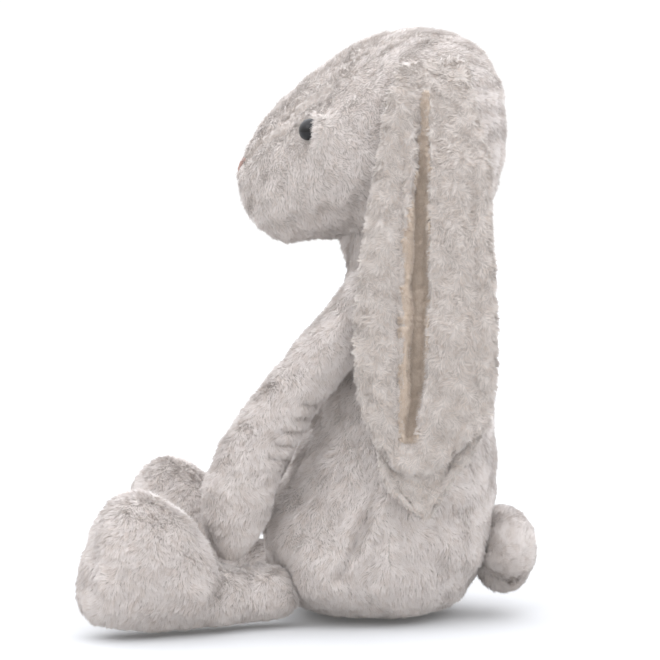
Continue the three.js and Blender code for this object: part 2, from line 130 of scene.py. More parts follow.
def groove(points, path, width):
    """1 on a path of points and fading to 0 over a width, both in mm."""
    nearest = np.full(len(points), 1e9)
    path = np.array(path, float)
    for start, end in zip(path[:-1], path[1:]):
        span = end - start
        share = ((points / MM - start) @ span / (span @ span)).clip(0.0, 1.0)[:, None]
        gap = np.linalg.norm(points / MM - start - share * span, axis=1)
        nearest = np.minimum(nearest, gap)
    return np.exp(-(nearest / width) ** 2)


def mirrored(points, by=None):
    """The points as they lie on the left side, for shapes that both sides share."""
    by = points if by is None else by
    return points * np.where(by[:, :1] < 0, [-1.0, 1.0, 1.0], [1.0, 1.0, 1.0])


# ---------------------------------------------------------------- soft covers
def largest_island(bm):
    """Removes all but the island with the most vertices, which is the outer surface."""
    bm.verts.ensure_lookup_table()
    seen = set()
    islands = []
    for start in bm.verts:
        if start.index in seen:
            continue
        seen.add(start.index)
        island = [start]
        for vert in island:
            for edge in vert.link_edges:
                other = edge.other_vert(vert)
                if other.index not in seen:
                    seen.add(other.index)
                    island.append(other)
        islands.append(island)
    islands.sort(key=len, reverse=True)
    for island in islands[1:]:
        bmesh.ops.delete(bm, geom=island, context="VERTS")


def joined_solid(name, nodes, voxel, smoothing):
    """One closed smooth skin round CAD nodes, from a voxel remesh of them all."""
    bm = bmesh.new()
    for node in nodes:
        bm.from_mesh(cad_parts[node].data)
    bmesh.ops.remove_doubles(bm, verts=bm.verts, dist=1e-6)
    mesh = bpy.data.meshes.new(name)
    bm.to_mesh(mesh)
    bm.free()
    obj = new_object(name, mesh)
    remesh = obj.modifiers.new("remesh", "REMESH")
    remesh.mode = "VOXEL"
    remesh.voxel_size = voxel
    smooth = obj.modifiers.new("smooth", "SMOOTH")
    smooth.factor = 0.5
    smooth.iterations = smoothing
    apply_modifiers(obj)
    bm = bmesh.new()
    bm.from_mesh(obj.data)
    largest_island(bm)
    bm.to_mesh(obj.data)
    bm.free()
    obj.data.materials.clear()
    return obj


def panel_distances(points, nodes):
    """Distance from each point to each panel."""
    rows = []
    for node in nodes:
        bm = bmesh.new()
        bm.from_mesh(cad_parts[node].data)
        tree = BVHTree.FromBMesh(bm)
        bm.free()
        rows.append([tree.find_nearest(Vector(point))[3] for point in points])
    return np.array(rows)


def seam_points(mesh, panels):
    """Points of the skin where two sewn panels meet."""
    if len(panels) < 2:
        return np.zeros((0, 3))
    co = coordinates(mesh)
    distance = panel_distances(co, panels)
    owner = distance.argmin(axis=0)
    edges = np.empty(len(mesh.edges) * 2, np.int32)
    mesh.edges.foreach_get("vertices", edges)
    edges = edges.reshape(-1, 2)
    crossing = edges[owner[edges[:, 0]] != owner[edges[:, 1]]]
    return (co[crossing[:, 0]] + co[crossing[:, 1]]) / 2


def nearest_distance(points, targets, far=1.0):
    """Distance from each point to the nearest target."""
    if len(targets) == 0:
        return np.full(len(points), far)
    tree = KDTree(len(targets))
    for i, target in enumerate(targets):
        tree.insert(Vector(target), i)
    tree.balance()
    return np.array([tree.find(Vector(point))[2] for point in points])


def inflate(obj, seams, pressure, cap, frames=14):
    """Cloth under pressure, held at its seams; no point moves further than the cap."""
    start = coordinates(obj.data)
    held = nearest_distance(start, seams)
    group = obj.vertex_groups.new(name="held")
    weights = 1.0 - smoothstep(2 * MM, 9 * MM, held)
    for i, weight in enumerate(weights):
        if weight > 0.01:
            group.add([i], float(weight), "REPLACE")
    cloth = obj.modifiers.new("cloth", "CLOTH")
    settings = cloth.settings
    settings.quality = 5
    settings.mass = 0.15
    settings.tension_stiffness = 12
    settings.compression_stiffness = 12
    settings.shear_stiffness = 6
    settings.bending_stiffness = 0.4
    settings.use_pressure = True
    settings.uniform_pressure_force = pressure
    settings.vertex_group_mass = "held"
    settings.effector_weights.gravity = 0.0
    cloth.collision_settings.use_self_collision = False
    cloth.collision_settings.use_collision = False
    cloth.point_cache.frame_start = 1
    cloth.point_cache.frame_end = frames
    for number in range(1, frames + 1):
        scene.frame_set(number)
    apply_modifiers(obj)
    scene.frame_set(1)
    moved = coordinates(obj.data) - start
    length = np.linalg.norm(moved, axis=1, keepdims=True)
    limited = moved * np.minimum(1.0, cap / np.maximum(length, 1e-9))
    set_coordinates(obj.data, start + limited)
    obj.vertex_groups.clear()


def subdivided(obj, levels=1):
    subsurf = obj.modifiers.new("subsurf", "SUBSURF")
    subsurf.levels = levels
    subsurf.render_levels = levels
    return apply_modifiers(obj)


def move_along_normals(obj, amount):
    mesh = obj.data
    set_coordinates(mesh, coordinates(mesh) + normals(mesh) * np.asarray(amount).reshape(-1, 1))


BROAD_LUMP, FINE_LUMP = 1.1 * MM, 0.4 * MM


def lumps(points, seed):
    """Unevenness of stuffing under cloth, and of pile in locks."""
    return (BROAD_LUMP * waves(points, 52 * MM, seed)
            + 0.6 * BROAD_LUMP * waves(points, 26 * MM, seed + 1)
            + FINE_LUMP * waves(points, 9 * MM, seed + 2))


SEAM_WIDTH = 3.2 * MM
seams_of = {}


def cover(name, body, nodes, panels, inset, voxel=4.5 * MM, smoothing=6, pressure=4.0,
          cap=4 * MM, seam_depth=1.6 * MM, seed=1, relief=None, levels=1,
          stands_for=None):
    """A sewn soft cover: remeshed, inflated between its seams, drawn in at them, and lumpy.

    relief gives how far each point stands proud in mm, from points and normals mirrored to
    the left side."""
    obj = joined_solid(name, nodes, voxel, smoothing)
    seams = seam_points(obj.data, panels)
    inflate(obj, seams, pressure, cap)
    if levels:
        subdivided(obj, levels)
    co = coordinates(obj.data)
    near_seam = np.exp(-(nearest_distance(co, seams) / SEAM_WIDTH) ** 2)
    proud = lumps(co, seed) - inset - seam_depth * near_seam
    if relief is not None:
        proud = proud + MM * relief(mirrored(co), mirrored(normals(obj.data), co))
    move_along_normals(obj, proud)
    shade_smooth(obj.data)
    obj.data.materials.append(materials["backing"])
    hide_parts(*(nodes if stands_for is None else stands_for))
    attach(obj, body)
    seams_of[name] = seams
    return obj


def along_seams(name, close=0.45, reach=5 * MM):
    """Pile is shorter where a seam draws it in."""
    return lambda points: close + (1 - close) * smoothstep(
        0.5 * MM, reach, nearest_distance(points, seams_of[name]))


# ---------------------------------------------------------------- materials
def node_material(name):
    material = bpy.data.materials.new(name)
    material.use_nodes = True
    nodes = material.node_tree.nodes
    nodes.clear()
    output = nodes.new("ShaderNodeOutputMaterial")
    shader = nodes.new("ShaderNodeBsdfPrincipled")
    material.node_tree.links.new(shader.outputs["BSDF"], output.inputs["Surface"])
    return material, nodes, material.node_tree.links, shader


def ramp_node(nodes, stops):
    ramp = nodes.new("ShaderNodeValToRGB")
    elements = ramp.color_ramp.elements
    while len(elements) < len(stops):
        elements.new(0.5)
    for element, (place, colour) in zip(elements, stops):
        element.position = place
        element.color = (*colour, 1.0)
    return ramp


def backing_material(name, dark, light, scale):
    """Knitted backing and packed roots under the pile; the plush's is darkened as painted shade.
    """
    material, nodes, links, shader = node_material(name)
    where = nodes.new("ShaderNodeTexCoord")
    noise = nodes.new("ShaderNodeTexNoise")
    noise.inputs["Scale"].default_value = scale
    noise.inputs["Detail"].default_value = 6.0
    ramp = ramp_node(nodes, [(0.3, dark), (0.7, light)])
    bump = nodes.new("ShaderNodeBump")
    bump.inputs["Strength"].default_value = 0.5
    bump.inputs["Distance"].default_value = 0.0012
    links.new(where.outputs["Object"], noise.inputs["Vector"])
    links.new(noise.outputs["Fac"], ramp.inputs["Fac"])
    links.new(ramp.outputs["Color"], shader.inputs["Base Color"])
    links.new(noise.outputs["Fac"], bump.inputs["Height"])
    links.new(bump.outputs["Normal"], shader.inputs["Normal"])
    shader.inputs["Roughness"].default_value = 0.95
    shader.inputs["Sheen Weight"].default_value = 0.25
    shader.inputs["Sheen Roughness"].default_value = 0.6
    return material


def pile_material(name, root, middle, tip, warm):
    """Fibres: each one's own tone, with painted shade at seams, runs along U, and root to tip
    along V; roots darker than tips are painted shade deep in the pile.
    """
    material, nodes, links, shader = node_material(name)
    uv = nodes.new("ShaderNodeUVMap")
    uv.uv_map = "OFBake"
    split = nodes.new("ShaderNodeSeparateXYZ")
    # Root to tip: the roots are painted darker than the tips, painted shade deep in the pile.
    along = ramp_node(nodes, [(0.0, root), (0.45, middle), (1.0, tip)])
    # Low U gives a darker colour: partly each fibre's own random tone, partly painted shade
    # along seams.
    tone = ramp_node(nodes, [(0.02, tuple(0.86 * c for c in warm)), (0.14, warm),
                             (0.55, (1.0, 1.0, 1.0))])
    mix = nodes.new("ShaderNodeMix")
    mix.data_type = "RGBA"
    mix.blend_type = "MULTIPLY"
    mix.inputs["Factor"].default_value = 1.0
    links.new(uv.outputs["UV"], split.inputs["Vector"])
    links.new(split.outputs["Y"], along.inputs["Fac"])
    links.new(split.outputs["X"], tone.inputs["Fac"])
    links.new(along.outputs["Color"], mix.inputs["A"])
    links.new(tone.outputs["Color"], mix.inputs["B"])
    links.new(mix.outputs["Result"], shader.inputs["Base Color"])
    shader.inputs["Roughness"].default_value = 0.82
    shader.inputs["Specular IOR Level"].default_value = 0.25
    shader.inputs["Sheen Weight"].default_value = 0.3
    shader.inputs["Sheen Roughness"].default_value = 0.5
    return material


def plain_material(name, colour, roughness, coat=0.0, scale=900.0, bump_height=0.0):
    material, nodes, links, shader = node_material(name)
    noise = nodes.new("ShaderNodeTexNoise")
    noise.inputs["Scale"].default_value = scale
    where = nodes.new("ShaderNodeTexCoord")
    links.new(where.outputs["Object"], noise.inputs["Vector"])
    low = tuple(0.88 * c for c in colour)
    high = tuple(min(1.0, 1.1 * c) for c in colour)
    ramp = ramp_node(nodes, [(0.3, low), (0.7, high)])
    links.new(noise.outputs["Fac"], ramp.inputs["Fac"])
    links.new(ramp.outputs["Color"], shader.inputs["Base Color"])
    if bump_height:
        bump = nodes.new("ShaderNodeBump")
        bump.inputs["Distance"].default_value = bump_height
        bump.inputs["Strength"].default_value = 0.4
        links.new(noise.outputs["Fac"], bump.inputs["Height"])
        links.new(bump.outputs["Normal"], shader.inputs["Normal"])
    shader.inputs["Roughness"].default_value = roughness
    shader.inputs["Coat Weight"].default_value = coat
    shader.inputs["Specular IOR Level"].default_value = 0.25
    shader.inputs["Coat Roughness"].default_value = 0.03
    return material


def floor_material():
    """A white studio floor that melts into the white background."""
    material, nodes, links, shader = node_material("studio_floor")
    shader.inputs["Base Color"].default_value = (0.56, 0.56, 0.56, 1.0)
    shader.inputs["Roughness"].default_value = 1.0
    shader.inputs["Specular IOR Level"].default_value = 0.0
    shader.inputs["Emission Color"].default_value = (1.0, 1.0, 1.0, 1.0)
    shader.inputs["Emission Strength"].default_value = 0.06
    return material


materials = {
    # The plush backing is painted shade: darker than the pile, for the shade deep among the
    # fibres' roots.
    "backing": backing_material("plush_backing", (0.42, 0.38, 0.35), (0.52, 0.475, 0.44), 160),
    "lining_backing": backing_material("lining_backing", (0.49, 0.40, 0.32),
                                       (0.57, 0.475, 0.39), 300),
    "pile": pile_material("plush_pile", (0.59, 0.54, 0.50), (0.66, 0.605, 0.57),
                          (0.71, 0.66, 0.625), (0.90, 0.865, 0.835)),
    "fleece": pile_material("fleece_pile", (0.52, 0.467, 0.43), (0.578, 0.525, 0.483),
                            (0.62, 0.567, 0.525), (0.90, 0.86, 0.825)),
    "lining": pile_material("lining_pile", (0.46, 0.37, 0.295), (0.54, 0.445, 0.36),
                            (0.60, 0.505, 0.42), (0.94, 0.91, 0.88)),
    "eye": plain_material("eye_plastic", (0.004, 0.0035, 0.0035), 0.1, coat=0.25),
    "nose": plain_material("nose_thread", (0.60, 0.42, 0.37), 0.6, bump_height=0.0002),
}


# ---------------------------------------------------------------- pile
# Length and half width in mm; lean from the surface normal in degrees; swirl in radians over
# swirl_size mm; lock is the spacing of locks in mm and pull how far tips gather in them.
PILE_STYLES = {
    "combed": dict(length=5.4, width=0.42, lean=61, swirl=0.8, swirl_size=26, lock=3.2,
                   pull=0.26, stray=0.15),
    "face": dict(length=4.4, width=0.40, lean=62, swirl=0.7, swirl_size=22, lock=3.0,
                 pull=0.24, stray=0.14),
    "fleece": dict(length=4.4, width=0.42, lean=53, swirl=1.7, swirl_size=13, lock=3.0,
                   pull=0.28, stray=0.18),
    "short": dict(length=2.8, width=0.40, lean=55, swirl=0.4, swirl_size=25, lock=3.0,
                  pull=0.3, stray=0.12),
    "pompom": dict(length=7.0, width=0.42, lean=58, swirl=0.9, swirl_size=24, lock=3.4,
                   pull=0.3, stray=0.25),
}


# Fibres in each pile object.
PILE_COUNTS = {"torso": 40000, "head": 49000, "neck": 20000, "arm": 42000, "leg": 49000,
               "ear": 49500, "lining": 16000, "tail": 40000}


def sampled_surface(mesh, count, rng, keep=None):
    """Points spread evenly over a mesh by area, with their smooth normals."""
    mesh.calc_loop_triangles()
    triangles = np.empty(len(mesh.loop_triangles) * 3, np.int32)
    mesh.loop_triangles.foreach_get("vertices", triangles)
    triangles = triangles.reshape(-1, 3)
    co, directions = coordinates(mesh), normals(mesh)
    corners = co[triangles]
    area = np.linalg.norm(
        np.cross(corners[:, 1] - corners[:, 0], corners[:, 2] - corners[:, 0]), axis=1) / 2
    if keep is not None:
        area = area * keep(corners.mean(axis=1), directions[triangles].mean(axis=1))
    total = np.cumsum(area)
    picks = (np.arange(count) + rng.random(count)) / count * total[-1]
    chosen = np.searchsorted(total, picks).clip(0, len(area) - 1)
    u, v = np.sqrt(rng.random(count)), rng.random(count)
    weights = np.stack([1 - u, u * (1 - v), u * v], axis=1)[:, :, None]
    points = (corners[chosen] * weights).sum(axis=1)
    facing = unit((directions[triangles[chosen]] * weights).sum(axis=1))
    return points, facing, total[-1]


def rotated_about(vectors, axes, angles):
    cos, sin = np.cos(angles)[:, None], np.sin(angles)[:, None]
    return (vectors * cos + np.cross(axes, vectors) * sin
            + axes * (axes * vectors).sum(axis=1, keepdims=True) * (1 - cos))


def nearest_index(points, targets):
    tree = KDTree(len(targets))
    for i, target in enumerate(targets.tolist()):
        tree.insert(target, i)
    tree.balance()
    find = tree.find
    return np.array([find(point)[1] for point in points.tolist()])


def grow_pile(name, skin, body, count, style, flow, seed, material="pile",
              keep=None, scale=None, tone=None):
    """Fibres on a skin: closed three-sided spikes that lean along the flow, in locks."""
    s = PILE_STYLES[style]
    rng = np.random.default_rng(seed)
    points, facing, area = sampled_surface(skin.data, count, rng, keep)
    along = flow(points, facing)
    along = unit(along - facing * (along * facing).sum(axis=1, keepdims=True))
    turn = s["swirl"] * waves(points, s["swirl_size"] * MM, seed + 11)
    turn = turn + s["stray"] * 2.2 * rng.normal(size=count)
    along = rotated_about(along, facing, turn)
    length = s["length"] * MM * rng.uniform(0.7, 1.25, count)
    if scale is not None:
        length = length * scale(points)
    lean = np.radians(s["lean"] + 9 * rng.normal(size=count)
                      + 6 * waves(points, 12 * MM, seed + 13))
    direction = facing * np.cos(lean)[:, None] + along * np.sin(lean)[:, None]
    tip = points + direction * length[:, None]
    locks = max(8, int(area / (s["lock"] * MM) ** 2))
    order = rng.choice(count, min(locks, count), replace=False)
    lock = nearest_index(points, points[order])
    centre = order[lock]
    same_way = ((facing * facing[centre]).sum(axis=1) > 0.3)[:, None]
    tip = tip + s["pull"] * same_way * (tip[centre] - tip)
    lock_tone = rng.random(len(order))[lock]

    width = (s["width"] * MM * rng.uniform(0.75, 1.25, count))[:, None]
    direction = unit(tip - points)
    side = unit(np.cross(direction, facing))
    rise = np.cross(side, direction)
    root = points - facing * 0.5 * MM
    corners = [root + width * (math.cos(angle) * 1.4 * side + math.sin(angle) * rise)
               for angle in (math.pi / 6, math.pi * 5 / 6, math.pi * 3 / 2)]
    verts = np.stack([*corners, tip], axis=1)
    faces = np.array([[0, 1, 2], [1, 0, 3], [2, 1, 3], [0, 2, 3]])
    shown = (np.arange(count) * 4)[:, None, None] + faces[None]
    flank = 0.6 * facing - 0.1 * rise
    shading = np.stack([-direction] * 3
                       + [unit(facing - 0.25 * side), unit(facing + 0.25 * side), facing]
                       + [unit(flank - 0.6 * side)] * 3 + [unit(flank + 0.6 * side)] * 3, axis=1)
    u_tone = 0.55 * lock_tone + 0.45 * rng.random(count)
    # tone paints shade where it is low: it lowers U, and so darkens the pile's colour.
    if tone is not None:
        u_tone = u_tone * tone(points)
    u_tone = 0.02 + 0.9 * u_tone
    u = u_tone[:, None] + np.array([0, 0.02, 0.04, 0.02])[None]
    v = np.broadcast_to(np.array([0.01, 0.01, 0.01, 0.99])[None], u.shape)
    obj = triangle_object(name, verts.reshape(-1, 3), shown.reshape(-1, 3),
                          np.stack([u, v], axis=2).reshape(-1, 2), shading.reshape(-1, 3))
    obj.data.materials.append(materials[material])
    if body is not None:
        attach(obj, body)
    return obj


def triangle_object(name, verts, faces, uv, shading):
    mesh = bpy.data.meshes.new(name)
    mesh.vertices.add(len(verts))
    mesh.vertices.foreach_set("co", verts.astype(np.float32).ravel())
    mesh.loops.add(faces.size)
    mesh.loops.foreach_set("vertex_index", faces.astype(np.int32).ravel())
    mesh.polygons.add(len(faces))
    mesh.polygons.foreach_set("loop_start", np.arange(0, faces.size, 3, dtype=np.int32))
    mesh.update(calc_edges=True)
    layer = mesh.uv_layers.new(name="OFBake")
    layer.uv.foreach_set("vector", uv[faces.ravel()].astype(np.float32).ravel())
    shade_smooth(mesh)
    mesh.normals_split_custom_set(shading.astype(np.float32))
    return new_object(name, mesh)


def downward(points, facing):
    return np.broadcast_to(np.array([0.0, 0.12, -1.0]), points.shape)


# ---------------------------------------------------------------- torso
TORSO_PANELS = ["front_panel_left", "front_panel_right", "back_panel_left", "back_panel_right"]


def torso_relief(points, facing):
    """Sitting folds of the flank, and the fullness of the hips, the belly and the shoulders."""
    folds = -5.5 * groove(points, [(88, 56, 120), (86, 46, 92), (84, 34, 64), (80, 24, 40)], 4.0)
    folds += 2.6 * groove(points, [(88, 66, 118), (86, 55, 90), (84, 43, 62)], 5.0)
    folds += -3.6 * groove(points, [(82, 22, 112), (80, 8, 88), (76, -2, 70)], 3.6)
    folds += -3.0 * groove(points, [(86, 82, 84), (84, 90, 62), (76, 104, 46)], 4.0)
    folds += -2.6 * groove(points, [(60, 128, 96), (40, 138, 108)], 4.5)
    hips = 13.0 * blob(points, (80, 0, 38), (26, 24, 26))
    belly = 10.0 * blob(points, (40, -18, 72), (44, 20, 28))
    shoulders = 3.5 * blob(points, (50, 50, 236), (16, 22, 22))
    return folds + (hips + belly + shoulders)


torso = cover("body_cover", "torso", [*TORSO_PANELS, "seat_base", "body_stuffing",
                                      "seat_bean_bag"],
              [*TORSO_PANELS, "seat_base"], inset=3.0 * MM, seed=3, relief=torso_relief)
SEAT_HEIGHT = 0.0004
seated = coordinates(torso.data)
seated[:, 2] = np.maximum(seated[:, 2], SEAT_HEIGHT)
set_coordinates(torso.data, seated)


def floor_scale(points):
    """Pile is pressed flat where the rabbit sits on it."""
    return 0.35 + 0.65 * smoothstep(2 * MM, 14 * MM, points[:, 2])


SIDE_SEAM_Y = (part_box("front_panel_left")[1].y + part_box("back_panel_left")[0].y) / 2
for part, behind, seed in (("front", False, 21), ("back", True, 22)):
    for side, sign in SIDES.items():
        def part_only(centres, facing, behind=behind, sign=sign):
            on_part = (centres[:, 1] > SIDE_SEAM_Y) == behind
            return (on_part & (centres[:, 0] * sign > 0)).astype(float)
        grow_pile(f"{part}_pile_{side}", torso, "torso", PILE_COUNTS["torso"], "combed",
                  downward, seed + 5 * (sign > 0), keep=part_only, scale=floor_scale)

# ---------------------------------------------------------------- head
HEAD_PANELS = ["head_gusset", "head_side_left", "head_side_right"]


def eye_frame():
    """Base centre, axis and height of the left eye's dome, from its solid and its washer."""
    washer = coordinates(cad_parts["eye_washer_left"].data).mean(axis=0)
    solid = coordinates(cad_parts["eye_left"].data)
    axis = unit(solid.mean(axis=0) - washer)
    heights = (solid - washer) @ axis
    radii = np.linalg.norm(solid - washer - heights[:, None] * axis, axis=1)
    base = heights[radii > 0.98 * radii.max()].min()
    return washer + base * axis, axis, heights.max() - base, radii.max()


EYE_BASE, EYE_AXIS, EYE_RISE, EYE_RADIUS = eye_frame()
EYE = (EYE_BASE + 0.3 * EYE_RISE * EYE_AXIS) / MM


BROW_SEAM = [(0, -47, 345), (0, -33, 357), (0, -21, 364), (0, -17, 370), (0, -13, 377),
             (0, 1, 386), (0, 14, 394)]


def brow_seam(points, width):
    """1 on the gusset's seam beside the forehead, seen from the side."""
    return groove(points * np.array([0.0, 1.0, 1.0]), BROW_SEAM, width)


def head_relief(points, facing):
    """Eye sockets with full cheeks behind them, the chin, the muzzle's crease and the brow."""
    x, y, z = EYE
    dent = -4.0 * blob(points, (x - 4, y - 10, z), (9, 8, 11))
    dent += 9.0 * blob(points, (x + 3, y + 10.5, z - 1), (14, 7.5, 13))
    dent += 6.0 * blob(points, (0, -52, 318), (40, 16, 20))
    dent += 1.6 * blob(points, (x + 2, y + 1, z + 15), (12, 14, 6))
    dent += -4.5 * groove(points, [(52, -24, 340), (50, -23, 322), (44, -20, 302)], 3.6)
    dent += -3.2 * brow_seam(points, 2.4) * smoothstep(0.05, 0.3, facing[:, 0])
    dent += 1.0 * blob(points, (60, 14, 322), (20, 22, 20))
    return dent


head = cover("head_cover", "head", [*HEAD_PANELS, "head_stuffing"], HEAD_PANELS,
             inset=3.0 * MM, seed=5, relief=head_relief, seam_depth=3.6 * MM,
             stands_for=[*HEAD_PANELS, "head_stuffing", "eye_washer_left",
                         "eye_washer_right"])


def off_the_eye(points):
    """Distance in mm from the middle of the nearer eye."""
    return np.linalg.norm(mirrored(points) / MM - EYE, axis=1)


def off_the_nose(points):
    """Distance from the nose pad's middle, where 1 is its edge."""
    reach = (points / MM - np.array(NOSE)) / np.array([7.6, 12.0, 5.0])
    return np.linalg.norm(reach, axis=1)


NOSE = tuple((np.array(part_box("nose")[0]) + np.array(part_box("nose")[1])) / 2 / MM)


def face_flow(points, facing):
    """Backwards and down from the nose; behind each eye the pile stands forward over its rim."""
    flow = np.broadcast_to(np.array([0.0, 1.0, -0.75]), points.shape).copy()
    y = points[:, 1] / MM - EYE[1]
    over = ((y > 3) & (off_the_eye(points) < 15))[:, None]
    return np.where(over, np.array([0.0, -1.0, -0.25]), flow)


head_seams = along_seams("head_cover", 0.2)


def face_length(points):
    near_eye = smoothstep(8.0, 20.0, off_the_eye(points))
    behind = smoothstep(0.0, 6.0, points[:, 1] / MM - EYE[1])
    seam = 1.0 - 0.65 * brow_seam(points, 3.0)
    return head_seams(points) * seam * (0.45 + 0.55 * np.maximum(near_eye, behind))


# Painted shade in the head's seams: this factor falls to 0 on every seam and on the brow seam,
# and there the pile is coloured darker.
def seam_painted_shade(points):
    away = smoothstep(0.0, 5.5 * MM, nearest_distance(points, seams_of["head_cover"]))
    return away * (1.0 - brow_seam(points, 2.4))


for side, sign in SIDES.items():
    grow_pile(f"head_pile_{side}", head, "head", PILE_COUNTS["head"], "face", face_flow,
              31 + int(sign),
              keep=lambda centres, facing, sign=sign: (
                  (centres[:, 0] * sign > 0) & (off_the_eye(centres) > 7.5)
                  & (off_the_nose(centres) > 1.0)).astype(float),
              scale=face_length, tone=seam_painted_shade)


def lathe(name, profile, steps, base, axis):
    """A closed solid of revolution; the profile gives radius and height from top to bottom."""
    bm = bmesh.new()
    rings = []
    for radius, height in profile:
        if radius == 0:
            rings.append([bm.verts.new((0, 0, height))])
            continue
        rings.append([bm.verts.new((radius * math.cos(2 * math.pi * i / steps),
                                    radius * math.sin(2 * math.pi * i / steps), height))
                      for i in range(steps)])
    for upper, lower in zip(rings[:-1], rings[1:]):
        for i in range(steps):
            j = (i + 1) % steps
            corners = [upper[i % len(upper)], lower[i % len(lower)], lower[j % len(lower)],
                       upper[j % len(upper)]]
            bm.faces.new(list(dict.fromkeys(corners)))
    bmesh.ops.recalc_face_normals(bm, faces=bm.faces)
    turn = Vector((0, 0, 1)).rotation_difference(Vector(axis)).to_matrix().to_4x4()
    bm.transform(Matrix.Translation(Vector(base)) @ turn)
    mesh = bpy.data.meshes.new(name)
    bm.to_mesh(mesh)
    bm.free()
    shade_smooth(mesh)
    return new_object(name, mesh)


DOME_STEPS = 14
for side, sign in SIDES.items():
    profile = [(EYE_RADIUS * math.sin(math.pi / 2 * i / DOME_STEPS),
                EYE_RISE * (0.14 + 0.86 * math.cos(math.pi / 2 * i / DOME_STEPS)))
               for i in range(DOME_STEPS + 1)]
    profile[0] = (0, EYE_RISE)
    profile += [(EYE_RADIUS * 0.97, EYE_RISE * 0.03), (EYE_RADIUS * 0.9, 0.0), (0, 0.0)]
    flip = np.array([sign, 1.0, 1.0])
    eye = lathe(f"eye_dome_{side}", profile, 48, EYE_BASE * flip, EYE_AXIS * flip)
    eye.data.materials.append(materials["eye"])
    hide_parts(f"eye_{side}")
    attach(eye, "head")


def nose_pad():
    """Satin-stitched pad: a rounded triangle of upright threads laid over the muzzle."""
    tree = BVHTree.FromObject(head, bpy.context.evaluated_depsgraph_get())
    columns, rows, half_width, half_height = 68, 18, 8.3, 5.4
    bm = bmesh.new()
    grid = []
    for i in range(columns + 1):
        across = -1 + 2 * i / columns
        top = 1 - 0.22 * abs(across) ** 3
        bottom = -1 + 1.45 * abs(across) ** 1.4
        line = []
        for j in range(rows + 1):
            share = j / rows
            up = bottom + (top - bottom) * share
            edge = min(1.0, 4 * share, 4 * (1 - share), 5 * (1 - abs(across)))
            ridge = 0.28 * abs(math.sin(math.pi * 17 * (across + 1) / 2))
            height = (0.2 + 1.0 * math.sqrt(max(edge, 0.0)) + ridge * min(1, edge * 3)) * MM
            start = Vector((across * half_width * MM, NOSE[1] * MM - 0.05,
                            (NOSE[2] + up * half_height) * MM))
            hit = tree.ray_cast(start, Vector((0, 1, 0)))[0]
            line.append(bm.verts.new(hit + Vector((0, -1, 0.2)).normalized() * height))
        grid.append(line)
    for left, right in zip(grid[:-1], grid[1:]):
        for j in range(rows):
            bm.faces.new([left[j], right[j], right[j + 1], left[j + 1]])
    bmesh.ops.solidify(bm, geom=bm.faces[:], thickness=1.5 * MM)
    bmesh.ops.recalc_face_normals(bm, faces=bm.faces)
    mesh = bpy.data.meshes.new("nose_stitching")
    bm.to_mesh(mesh)
    bm.free()
    shade_smooth(mesh)
    return new_object("nose_stitching", mesh)


nose = nose_pad()
nose.data.materials.append(materials["nose"])
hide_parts("nose")
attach(nose, "head")

# ---------------------------------------------------------------- neck
# Height in mm, half width, half depth and middle depth of the soft neck inside both covers.
NECK_RINGS = [(226, 30, 30, 74), (236, 44, 46, 74), (248, 43, 48, 73), (262, 40, 46, 73),
              (276, 41, 47, 72), (290, 46, 50, 72), (302, 44, 46, 72), (312, 26, 28, 72)]
NECK_STEPS = 40


def neck_tube():
    bm = bmesh.new()
    rings = [[bm.verts.new((half_width * MM * math.cos(2 * math.pi * i / NECK_STEPS),
                            (middle + half_depth * math.sin(2 * math.pi * i / NECK_STEPS)) * MM,
                            height * MM)) for i in range(NECK_STEPS)]
             for height, half_width, half_depth, middle in NECK_RINGS]
    for lower, upper in zip(rings[:-1], rings[1:]):
        for i in range(NECK_STEPS):
            j = (i + 1) % NECK_STEPS
            bm.faces.new([lower[i], lower[j], upper[j], upper[i]])
    bm.faces.new(rings[0][::-1])
    bm.faces.new(rings[-1])
    mesh = bpy.data.meshes.new("neck_cover")
    bm.to_mesh(mesh)
    bm.free()
    obj = subdivided(new_object("neck_cover", mesh), 2)
    co = coordinates(obj.data)
    creases = -1.6 * MM * np.exp(-((co[:, 2] - 0.262) / (4 * MM)) ** 2)
    move_along_normals(obj, lumps(co, 23) + creases)
    shade_smooth(obj.data)
    obj.data.materials.append(materials["backing"])
    return obj


neck = neck_tube()
neck_pile = grow_pile("neck_pile", neck, None, PILE_COUNTS["neck"], "combed", downward, 91,
                      keep=lambda centres, facing: ((centres[:, 2] > 0.236)
                                                    & (centres[:, 2] < 0.3)).astype(float))
for piece in (neck, neck_pile):
    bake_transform(piece)

# ---------------------------------------------------------------- arms, legs, ears, tail
def arm_relief(points, facing):
    """Wrinkles inside the elbow, the heavy paw and its heel, and the shoulder."""
    wrinkles = np.zeros(len(points))
    for height in (126, 136, 146, 156, 166):
        wrinkles += -4.2 * groove(points, [(94, -8 - 0.5 * (161 - height), height + 7),
                                           (88, -3 - 0.6 * (161 - height), height),
                                           (70, 8 - 0.6 * (161 - height), height - 2)], 2.6)
    paw = 9.0 * blob(points, (76, -50, 46), (24, 22, 16))
    paw += 5.5 * blob(points, (72, -28, 76), (26, 16, 34))
    return wrinkles + paw + 4.5 * blob(points, (48, 47, 240), (12, 22, 24))


def channel_edges():
    """Heights, and the front and back edge there, of the lined channel in the left ear."""
    lining = coordinates(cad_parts["ear_lining_left"].data)
    level = np.round(lining[:, 2] / (8 * MM))
    rows = [(lining[level == at, 2].mean(), lining[level == at, 1].min(),
             lining[level == at, 1].max()) for at in np.unique(level)]
    heights, front, back = np.array(rows).T
    return heights, front + 6.5 * MM * smoothstep(275 * MM, 350 * MM, heights), back


CHANNEL = channel_edges()
CUFF = np.array([(40, 158), (52, 140), (63, 126), (73, 121), (84, 121), (100, 129), (116, 143),
                 (132, 156)]) * MM


